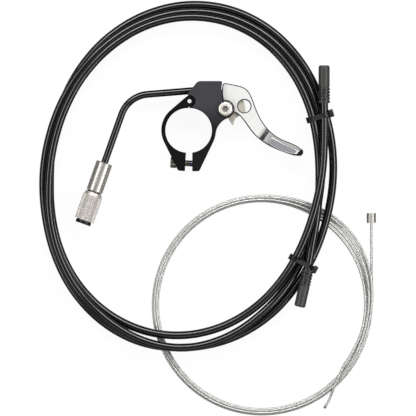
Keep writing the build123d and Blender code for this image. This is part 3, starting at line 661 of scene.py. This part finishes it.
def nurbs(name: str, points: Sequence[Point], diameter: float, sides: int = 6) -> bpy.types.Object:
    """One open smooth line through space, as thick as the cord.

    Args:
        name: the piece's name.
        points: control points in millimetres.
        diameter: millimetres.
        sides: Blender's bevel resolution.

    Returns:
        The curve object at the origin.
    """
    curve = bpy.data.curves.new(name, "CURVE")
    curve.dimensions = "3D"
    curve.resolution_u = CORD_RESOLUTION
    curve.bevel_depth = diameter / 2 * MM
    curve.bevel_resolution = sides
    curve.use_fill_caps = True
    spline = curve.splines.new("NURBS")
    spline.points.add(len(points) - 1)
    for control, point in zip(spline.points, metres(points)):
        control.co = (*point, 1.0)
    # set after the points are added: set before, they leave the line at straight runs
    spline.order_u = 3
    spline.use_endpoint_u = True
    made = bpy.data.objects.new(name, curve)
    bpy.context.scene.collection.objects.link(made)
    return made


def centre_line(cord: bpy.types.Object) -> list[Vector]:
    """Points read from a cord's own spline.

    Args:
        cord: the curve object.

    Returns:
        Points along its middle, in metres.
    """
    bare = cord.copy()
    bare.data = cord.data.copy()
    bare.data.bevel_depth = 0.0
    bare.data.use_fill_caps = False
    bpy.context.scene.collection.objects.link(bare)
    graph = bpy.context.evaluated_depsgraph_get()
    mesh = bpy.data.meshes.new_from_object(bare.evaluated_get(graph))
    line = [v.co.copy() for v in mesh.vertices]
    bpy.data.meshes.remove(mesh)
    curve = bare.data
    bpy.data.objects.remove(bare)
    bpy.data.curves.remove(curve)
    return line


def length_of(line: Sequence[Vector]) -> float:
    """Length of a line.

    Args:
        line: its points.

    Returns:
        The sum of its runs.
    """
    return sum((b - a).length for a, b in zip(line, line[1:]))


def mesh_piece(
    name: str, made: bmesh.types.BMesh, material: bpy.types.Material, smooth: bool = True
) -> bpy.types.Object:
    """Turns a finished bmesh into a piece at the origin.

    Args:
        name: the piece's name.
        made: the bmesh, which is freed.
        material: its finish.
        smooth: whether faces are shaded smooth.

    Returns:
        The new object.
    """
    bmesh.ops.recalc_face_normals(made, faces=made.faces)
    for face in made.faces:
        face.smooth = smooth
    mesh = bpy.data.meshes.new(name)
    made.to_mesh(mesh)
    made.free()
    mesh.materials.append(material)
    piece = bpy.data.objects.new(name, mesh)
    bpy.context.scene.collection.objects.link(piece)
    return piece


@dataclass
class HousingBundle:
    """A little over three turns of outer housing, tied in two places, with a cap on each end."""

    diameter: float = 4.0
    centre: Pair = (-2.0, -23.0)
    oval: float = 76.1
    stretch: float = 7.1
    lean: float = 81.0
    step: float = 15.0
    first_angle: float = -30.0
    lower_end: tuple[Point, Point] = ((56.68, -80.58, 10.77), (59.1, -69.85, 10.77))
    upper_end: tuple[Point, Point] = ((67.25, 13.65, 9.23), (67.25, 24.65, 9.23))
    # sideways place from the oval, and height of the middle, every step of the angle
    lie: tuple[Pair, ...] = (
        (1.1, 10.3), (-1.2, 9.6), (-2.8, 8.9), (-3.5, 8.7), (-3.6, 8.7), (-3.5, 8.7), (-3.2, 8.4),
        (-3.0, 8.2), (-3.0, 8.2), (-3.0, 8.4), (-2.9, 8.8), (-2.3, 9.3), (-1.9, 9.4), (-1.6, 9.4),
        (-1.5, 9.6), (-1.1, 9.9), (-0.7, 10.1), (-0.4, 10.1), (0.0, 10.0), (1.9, 10.1), (3.2, 10.0),
        (2.1, 9.7), (0.5, 8.8), (0.1, 7.5), (-0.7, 6.3), (-1.6, 5.4), (-1.6, 5.0), (-1.1, 5.3),
        (-0.2, 6.2), (-0.2, 6.2), (0.0, 5.7), (0.0, 5.3), (-0.3, 5.0), (-0.6, 5.1), (-0.5, 5.5),
        (0.2, 6.0), (1.0, 6.4), (1.5, 6.4), (1.6, 6.4), (1.0, 6.3), (1.1, 6.4), (1.7, 6.3), (2.4, 6.1),
        (3.1, 5.8), (2.8, 5.7), (3.5, 5.7), (4.0, 5.9), (4.0, 5.8), (4.0, 5.7), (4.2, 5.4), (4.3, 5.0),
        (3.8, 4.6), (3.1, 4.0), (3.2, 3.5), (3.5, 3.1), (3.6, 2.7), (3.2, 2.4), (2.4, 2.1), (1.9, 2.0),
        (1.4, 2.0), (0.7, 2.2), (-0.5, 2.5), (-2.0, 2.9), (-2.0, 3.3), (-2.0, 3.8), (-2.2, 4.3),
        (-2.6, 5.0), (-2.9, 5.9), (-3.3, 7.0), (-3.7, 8.3), (-3.9, 9.8), (-3.9, 11.4), (-3.6, 12.8),
        (-3.0, 13.6), (-1.6, 13.2), (-0.1, 11.3),
    )

    def radius(self, angle: float) -> float:
        """Radius in millimetres of the oval that the strands follow, at an angle in degrees."""
        return self.oval + self.stretch * math.cos(math.radians(2 * (angle - self.lean)))

    def points(self) -> list[Point]:
        """Control points from the lower cap round to the upper one.

        Returns:
            Points in millimetres.
        """
        x, y = self.centre
        route = list(self.lower_end)
        for index, (aside, height) in enumerate(self.lie):
            angle = self.first_angle + self.step * index
            reach = (self.radius(angle) + aside) * outset(self.step)
            turn = math.radians(angle)
            route.append((x + reach * math.cos(turn), y + reach * math.sin(turn), height))
        return route + list(self.upper_end)

    def build(self, jacket: bpy.types.Material, tie: bpy.types.Material) -> None:
        """Args:
            jacket: the housing's finish.
            tie: the finish of the ties.
        """
        housing = nurbs("housing_cord", self.points(), self.diameter)
        housing.data.materials.append(jacket)
        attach(housing, Body.REMOTE.value)
        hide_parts("housing_coil")
        line = centre_line(housing)
        places = (
            CableTie("upper_tie", "tie_upper", middle=(65.4, 6.9), angle=17.0),
            CableTie("lower_tie", "tie_lower", middle=(56.4, -66.2), angle=-28.0),
        )
        ties = [place.build(self.diameter, line, tie) for place in places]


@dataclass
class CableTie:
    """A plastic tie drawn round the strands that pass one place of the loop."""

    name: str
    node: str
    middle: Pair
    angle: float
    near: float = 20.0
    slack: float = 0.12
    width: float = 2.5
    thickness: float = 0.9
    facets: int = 28
    end_on: float = 0.9
    weld: float = 0.02
    head_size: Point = (3.9, 2.2, 4.2)
    head_edge: float = 0.45
    foot_size: Point = (3.1, 1.3, 2.2)
    foot_edge: float = 0.3
    sunk_share: float = 0.6
    tail: float = 1.8
    tail_edge: float = 0.1

    def crossings(self, line: Sequence[Vector]) -> list[Vector]:
        """Where the cord passes this tie's plane.

        Args:
            line: the cord's middle.

        Returns:
            Points in metres.
        """
        x, y = self.middle
        middle = Vector((x * MM, y * MM, 0))
        turn = math.radians(self.angle)
        outward = Vector((math.cos(turn), math.sin(turn), 0))
        ahead = Vector((-math.sin(turn), math.cos(turn), 0))
        found = []
        for a, b in zip(line, line[1:]):
            low, high = (a - middle).dot(ahead), (b - middle).dot(ahead)
            if low * high <= 0 and low != high and abs((a - middle).dot(outward)) < self.near * MM:
                found.append(a.lerp(b, low / (low - high)))
        return found

    def axes(self, points: Sequence[Vector]) -> Matrix:
        """The tie's own axes at the middle of its strands: X outward, Y along the strands, Z up."""
        middle = sum(points, Vector()) / len(points)
        return Matrix.Translation(middle) @ Matrix.Rotation(math.radians(self.angle), 4, "Z")

    def band(self, strands: Sequence[Vector], reach: float) -> bmesh.types.BMesh:
        """Makes the band from the hull of the strands.

        Args:
            strands: the strands' places on the tie's own axes, in metres.
            reach: the band's inner radius round one strand, in metres.

        Returns:
            The band, on the tie's own axes.
        """
        made = bmesh.new()
        lay = Matrix.Rotation(math.radians(90), 4, "X")
        sleeve = {"segments": self.facets, "radius1": reach, "radius2": reach, "depth": self.width * MM}
        for place in strands:
            flat = Matrix.Translation((place.x, 0, place.z)) @ lay
            bmesh.ops.create_cone(made, **sleeve, cap_ends=False, matrix=flat)
        hull = bmesh.ops.convex_hull(made, input=made.verts)
        inside = dict.fromkeys([*hull["geom_interior"], *hull["geom_unused"]])
        loose = [g for g in inside if isinstance(g, bmesh.types.BMVert)]
        bmesh.ops.delete(made, geom=loose, context="VERTS")
        ends = [f for f in made.faces if abs(f.normal.y) > self.end_on]
        bmesh.ops.delete(made, geom=ends, context="FACES_ONLY")
        bmesh.ops.remove_doubles(made, verts=made.verts, dist=self.weld * MM)
        bmesh.ops.recalc_face_normals(made, faces=made.faces)
        bmesh.ops.solidify(made, geom=made.faces[:], thickness=-self.thickness * MM)
        return made

    def build(
        self, diameter: float, line: Sequence[Vector], material: bpy.types.Material
    ) -> bpy.types.Object:
        """Makes the band round the strands, and the ratchet head with its cut tail.

        Args:
            diameter: the cord's diameter in millimetres.
            line: the cord's middle.
            material: the finish.

        Returns:
            The tie.
        """
        points = self.crossings(line)
        stand = self.axes(points)
        strands = [stand.inverted() @ p for p in points]
        reach = (diameter / 2 + self.slack) * MM
        made = self.band(strands, reach)
        outer = max(strands, key=lambda p: p.x + p.z)
        inner = min(strands, key=lambda p: p.x)
        edge = reach + self.thickness * MM * self.sunk_share
        side = outer.x + edge + self.head_size[1] / 2 * MM
        top = self.add_block(made, self.head_size, (side, outer.z), self.head_edge)
        self.add_block(made, self.foot_size, (inner.x - edge, inner.z), self.foot_edge)
        stub = (self.width, self.thickness, self.tail)
        self.add_block(made, stub, (side, top + self.tail / 2 * MM), self.tail_edge)
        made.transform(stand)
        tie = mesh_piece(self.name, made, material, smooth=False)
        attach(tie, Body.REMOTE.value)
        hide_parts(self.node)
        log.info("%s: round %d strands", self.name, len(points))
        return tie

    def add_block(self, made: bmesh.types.BMesh, size: Point, place: Pair, edge: float) -> float:
        """Adds a rounded block: the ratchet head, the band's thick foot or the cut tail.

        Args:
            made: the band.
            size: millimetres along the strands, across them and upwards.
            place: the block's middle across the strands and upwards, in metres.
            edge: the rounding in millimetres.

        Returns:
            Height of the block's top in metres.
        """
        along, across, high = (s * MM for s in size)
        box = bmesh.ops.create_cube(made, size=1.0)["verts"]
        bmesh.ops.scale(made, vec=(across, along, high), verts=box)
        bmesh.ops.translate(made, vec=(place[0], 0, place[1]), verts=box)
        edges = list(dict.fromkeys(e for v in box for e in v.link_edges))
        bmesh.ops.bevel(
            made, geom=edges, offset=edge * MM, affect="EDGES", segments=2, profile=0.5, material=-1
        )
        return place[1] + high / 2


@dataclass
class InnerCable:
    """A little over five loose turns of inner cable, from its head to its straight cut tail."""

    diameter: float = 1.2
    centre: Pair = (37.1, -87.45)
    loop: float = 54.6
    shift: float = 0.8
    band: float = 3.05
    layer: float = 1.25
    turns: float = 5.07
    step: float = 15.0
    fan_angle: float = 39.0
    fan_spread: float = 56.0
    fan_reach: tuple[float, ...] = (57.0, 55.6, 54.6, 53.0, 51.3)
    crossing_angle: float = 40.0
    mouth: Point = (90.98, -46.22, 2.3)
    head: tuple[Point, ...] = (
        (90.98, -42.22, 2.3), (90.98, -48.5, 2.3), (91.0, -56.0, 1.1), (91.1, -63.0, 0.6),
    )
    tail: tuple[Point, ...] = (
        (80.7, -112.6, 2.9), (77.3, -117.0, 3.05), (74.3, -123.8, 3.05), (72.2, -128.8, 2.7),
        (70.6, -133.2, 0.9), (69.5, -135.9, 0.62), (68.2, -137.7, 0.62),
    )

    def place(self, turn: float) -> Point:
        """A point of the coil, whose turns lie in two layers and fan out in one place.

        Args:
            turn: turns from the start, clockwise.

        Returns:
            The point in millimetres.
        """
        passed = turn + self.fan_angle / 360
        nearest = min(len(self.fan_reach), max(1, round(passed)))
        away = (passed - nearest) * 360
        lane = nearest - 1 + eased(away / self.fan_spread / 2 + 0.5)
        rise = eased(away / self.crossing_angle + 0.5)
        layer = rise if nearest % 2 else 1 - rise
        angle = -2 * math.pi * turn
        reach = self.loop - self.shift * math.cos(angle) - self.band * lane / len(self.fan_reach)
        if abs(away) < self.fan_spread:
            fan = math.cos(math.radians(90 * away / self.fan_spread)) ** 2
            reach += (self.fan_reach[nearest - 1] - reach) * fan
        reach *= outset(self.step)
        x, y = self.centre
        height = self.diameter / 2 + self.layer * layer
        return x + reach * math.cos(angle), y + reach * math.sin(angle), height

    def points(self) -> list[Point]:
        """Control points from the head to the cut end.

        Returns:
            Points in millimetres.
        """
        per_turn = 360 / self.step
        coil = [self.place(index / per_turn) for index in range(int(self.turns * per_turn) + 1)]
        return [*self.head, *coil, *self.tail]

    def build(self, steel: bpy.types.Material) -> None:
        """Args:
            steel: the stranded steel's finish.
        """
        wire = nurbs("inner_cable", self.points(), self.diameter, sides=3)
        wire.data.materials.append(steel)
        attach(wire, Body.REMOTE.value)
        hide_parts("inner_cable_coil")
        length = length_of(centre_line(wire))
        log.info("inner_cable: %.3f m long", length)


@dataclass
class ReturnSpring:
    """Torsion spring under the quadrant: its leg stays in the body, and its peg turns with the lever."""

    pivot: Pair = (17.876, 10.635)
    radius: float = 3.9
    wire: float = 0.6
    weld: float = 0.001
    low: float = 2.547
    pitch: float = 1.05
    first_angle: float = 120.0
    turns: int = 2
    step: float = 15.0
    leg: tuple[Point, ...] = ((12.635, 12.112, 2.547), (14.6, 13.25, 2.547))
    peg: tuple[Point, ...] = (
        (16.35, 14.26, 4.66), (16.488, 14.337, 4.72), (16.488, 14.337, 5.0), (16.488, 14.337, 6.296),
    )
    twist: Pair = (2.85, 4.3)

    def points(self) -> list[Point]:
        """Control points from the leg round the turns and up the peg.

        Returns:
            Points in millimetres.
        """
        x, y = self.pivot
        reach = self.radius * outset(self.step)
        per_turn = int(360 / self.step)
        coil = []
        for index in range(self.turns * per_turn + 1):
            turn = math.radians(self.first_angle - self.step * index)
            rise = self.low + self.pitch * index / per_turn
            coil.append((x + reach * math.cos(turn), y + reach * math.sin(turn), rise))
        return [*self.leg, *coil, *self.peg]

    def build(self, steel: bpy.types.Material) -> None:
        """Makes the spring as a mesh.

        Args:
            steel: the spring's finish.
        """
        line = nurbs("spring_line", self.points(), self.wire, sides=3)
        graph = bpy.context.evaluated_depsgraph_get()
        made = bmesh.new()
        made.from_mesh(bpy.data.meshes.new_from_object(line.evaluated_get(graph)))
        curve = line.data
        bpy.data.objects.remove(line)
        bpy.data.curves.remove(curve)
        bmesh.ops.remove_doubles(made, verts=made.verts, dist=self.weld * MM)
        spring = mesh_piece("torsion_spring", made, steel)
        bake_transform(spring)
        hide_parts("return_spring")
        log.info("torsion_spring: %d turns", self.turns)


# Studio


@dataclass
class SoftBox:
    name: str
    azimuth: float
    elevation: float
    power: float
    size: Pair = (1.4, 0.2)
    distance: float = 1.1

    def build(self, aim: Vector) -> None:
        """Adds the lamp.

        Args:
            aim: the point that it faces, in metres.
        """
        lamp = bpy.data.lights.new(self.name, "AREA")
        lamp.shape = "RECTANGLE"
        lamp.size, lamp.size_y = self.size
        lamp.energy = self.power
        made = bpy.data.objects.new(self.name, lamp)
        turn, lift = math.radians(self.azimuth), math.radians(self.elevation)
        way = Vector((math.cos(turn) * math.cos(lift), math.sin(turn) * math.cos(lift), math.sin(lift)))
        made.location = aim + way * self.distance
        made.rotation_euler = (-way).to_track_quat("-Z", "Y").to_euler()
        bpy.context.scene.collection.objects.link(made)


@dataclass
class Studio:
    """White table, even light from all round and a camera straight overhead."""

    picture: int = 416
    per_mm: float = 2.0
    origin_pixel: Pair = (189.5, 130.4)
    level: float = 6.0
    lens: float = 600.0
    floor_size: float = 3.0
    world_strength: float = 0.3
    sky_gloss: float = 0.03
    ring_light: float = 0.75
    ring_low: Pair = (24.0, 36.0)
    ring_high: Pair = (66.0, 76.0)
    ring_lean: Pair = (0.5, 0.9)
    floor_gap: float = 0.05
    floor_tones: Pair = (0.11, 0.13)
    floor_blotch: float = 40.0
    floor_gloss: float = 0.12
    floor_glow: float = 0.92
    boxes: tuple[SoftBox, ...] = (
        SoftBox("box_left", azimuth=180.0, elevation=40.0, power=3.0),
        SoftBox("box_right", azimuth=0.0, elevation=40.0, power=4.6),
        SoftBox("box_back", azimuth=90.0, elevation=46.0, power=6.4),
        SoftBox("box_front", azimuth=-90.0, elevation=40.0, power=0.8),
    )

    def aim(self) -> Vector:
        """The point in the middle of the photograph's frame.

        Returns:
            The point in metres.
        """
        across = (self.picture / 2 - self.origin_pixel[0]) / self.per_mm
        up = (self.origin_pixel[1] - self.picture / 2) / self.per_mm
        return Vector((across, up, self.level)) * MM

    def camera(self) -> None:
        """Long lens straight above, so that the frame is as wide as the photograph's."""
        data = bpy.data.cameras.new("overhead")
        data.lens = self.lens
        half = self.picture / self.per_mm / 2 * MM
        distance = half / (data.sensor_width / 2 / data.lens)
        camera = bpy.data.objects.new("overhead", data)
        camera.location = self.aim() + Vector((0, 0, distance))
        data.clip_start, data.clip_end = 0.1, distance * 4
        bpy.context.scene.collection.objects.link(camera)
        bpy.context.scene.camera = camera

    def floor(self) -> None:
        """White table top that keeps a faint shadow."""
        made = bmesh.new()
        bmesh.ops.create_grid(made, x_segments=8, y_segments=8, size=self.floor_size / 2)
        shader = Shader(bpy.data.materials.new("table_white"))
        camera, glossy = shader.rays()
        seen = camera + glossy * self.floor_gloss
        blotches = shader.noise(shader.place(), self.floor_blotch, detail=2.0)
        dark, light = ((tone, tone, tone) for tone in self.floor_tones)
        shader.set(
            Base_Color=shader.mix(blotches, dark, light),
            Roughness=0.9,
            Specular_IOR_Level=0.0,
            Emission_Color=shader.mix(seen, BLACK, WHITE),
            Emission_Strength=self.floor_glow,
        )
        floor = mesh_piece("table", made, shader.owner, smooth=False)
        below = Vector((0, 0, (self.level + self.floor_gap) * MM))
        floor.data.transform(Matrix.Translation(self.aim() - below))

    def world(self) -> None:
        """White for the camera, and in reflections a soft bright ring, stronger at the back right."""
        world = bpy.data.worlds.new("studio")
        bpy.context.scene.world = world
        sky = Shader(world, "Background")
        camera, glossy = sky.rays()
        way = sky.node("ShaderNodeTexCoord", {}, {}, "Generated")
        east, north, up = (sky.part(way, axis) for axis in range(3))
        edges = (self.ring_low, self.ring_high)
        low, high = (tuple(math.sin(math.radians(e)) for e in edge) for edge in edges)
        to_east, to_north = self.ring_lean
        lean = self.ring_light * (1 + east * to_east + north * to_north)
        mirrored = up.ramp(*low) * (1 - up.ramp(*high)) * lean + self.sky_gloss
        strength = camera + glossy * mirrored + (1 - camera - glossy) * self.world_strength
        sky.set(Color=WHITE, Strength=strength)

    def build(self) -> None:
        """Sets the whole studio up."""
        self.camera()
        self.floor()
        self.world()
        for box in self.boxes:
            box.build(self.aim())
        bpy.context.scene.view_settings.view_transform = "Standard"



FINISHES: dict[str, Finish] = {
    # the body gets painted shade towards low Y, full at -2 mm and gone at 14 mm
    "body_anodised": Anodised("body_anodised", (0.054, 0.052, 0.061), 0.5, specular=0.2, painted_shade_fade=(-2.0, 14.0)),
    "strap_anodised": Anodised("strap_anodised", (0.0045, 0.0035, 0.0045), 0.42, specular=0.15),
    "lever_polished": LeverMetal("lever_polished", (0.93, 0.93, 0.92), 0.22, spread=0.07, satin=0.92),
    "bright_screws": Bare(
        "bright_screws", (0.86, 0.82, 0.75), 0.22, angle=20.0, satin=0.85, socket_level=13.3
    ),
    "bolt_steel": BoltMetal("bolt_steel", (0.62, 0.58, 0.5), 0.3),
    "pin_steel": Bare("pin_steel", (0.86, 0.86, 0.84), 0.3, cloud=1.0, satin=0.9),
    "quadrant_steel": Bare("quadrant_steel", (0.66, 0.61, 0.53), 0.3, angle=60.0, spread=0.16, satin=0.8),
    "spring_steel": Bare("spring_steel", (0.42, 0.41, 0.39), 0.3, cloud=1.5),
    "bearing_plastic": Moulded("bearing_plastic", (0.11, 0.11, 0.11), 0.5),
    "tube_black": Anodised("tube_black", (0.002, 0.002, 0.002), 0.12, grain=0.5, depth=0.0004, specular=1.0),
    "liner_plastic": Moulded("liner_plastic", (0.74, 0.74, 0.7), 0.4),
    "adjuster_nickel": Plated("adjuster_nickel", (0.74, 0.71, 0.66), 0.3),
    "knurled_nickel": Plated("knurled_nickel", (0.64, 0.61, 0.57), 0.46, plating=0.6),
    "ring_rubber": Moulded("ring_rubber", (0.05, 0.035, 0.025), 0.55),
    "stop_plastic": Moulded("stop_plastic", (0.004, 0.004, 0.004), 0.35),
    "housing_black": Jacket("housing_black", (0.002, 0.002, 0.0022), 0.16),
    "cap_plastic": CapPlastic("cap_plastic", (0.055, 0.053, 0.051), 0.36, skin=0.35, depth=0.06, spread=0.2),
    "tie_plastic": Moulded("tie_plastic", (0.022, 0.02, 0.019), 0.32),
    "cable_steel": Stranded("cable_steel", (0.7, 0.7, 0.68), 0.3),
    "head_steel": Bare("head_steel", (0.5, 0.49, 0.45), 0.42, cloud=1.2, spread=0.3, satin=0.5),
    "tip_steel": Bare("tip_steel", (0.25, 0.24, 0.22), 0.45, cloud=0.5, spread=0.3),
}


@dataclass
class Remote:
    """The rigid pieces, which keep their CAD shapes and get their finishes here."""

    finishes: dict[str, bpy.types.Material]
    own_finish: tuple[tuple[str, str], ...] = (("adjuster_barrel", "knurled_nickel"),)

    def dress(self) -> None:
        """Gives each CAD node the material of its slot in the record, or its own version of it."""
        chosen = {**node_slots(), **dict(self.own_finish)}
        for name, node in frame["nodes"].items():
            material = self.finishes[chosen[name]]
            if not node.material_slots:
                node.data.materials.append(material)
            for holder in node.material_slots:
                holder.material = material
            log.info("%s: %s", name, material.name)


def node_slots() -> dict[str, str]:
    """Which material slot each CAD node takes its finish from.

    Returns:
        The slot by node.
    """
    return {part["node"]: part["material_slot"] for part in frame["record"]["subparts"]}


def main() -> None:
    """Builds the studio, the cords and the finishes in order."""
    logging.basicConfig(level=logging.INFO, format="%(name)s %(message)s")
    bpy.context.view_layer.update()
    Studio().build()
    finishes = {slot: finish.make() for slot, finish in FINISHES.items()}
    HousingBundle().build(finishes["housing_black"], finishes["tie_plastic"])
    InnerCable().build(finishes["cable_steel"])
    ReturnSpring().build(finishes["spring_steel"])
    Remote(finishes).dress()


if __name__ == "__main__":
    main()
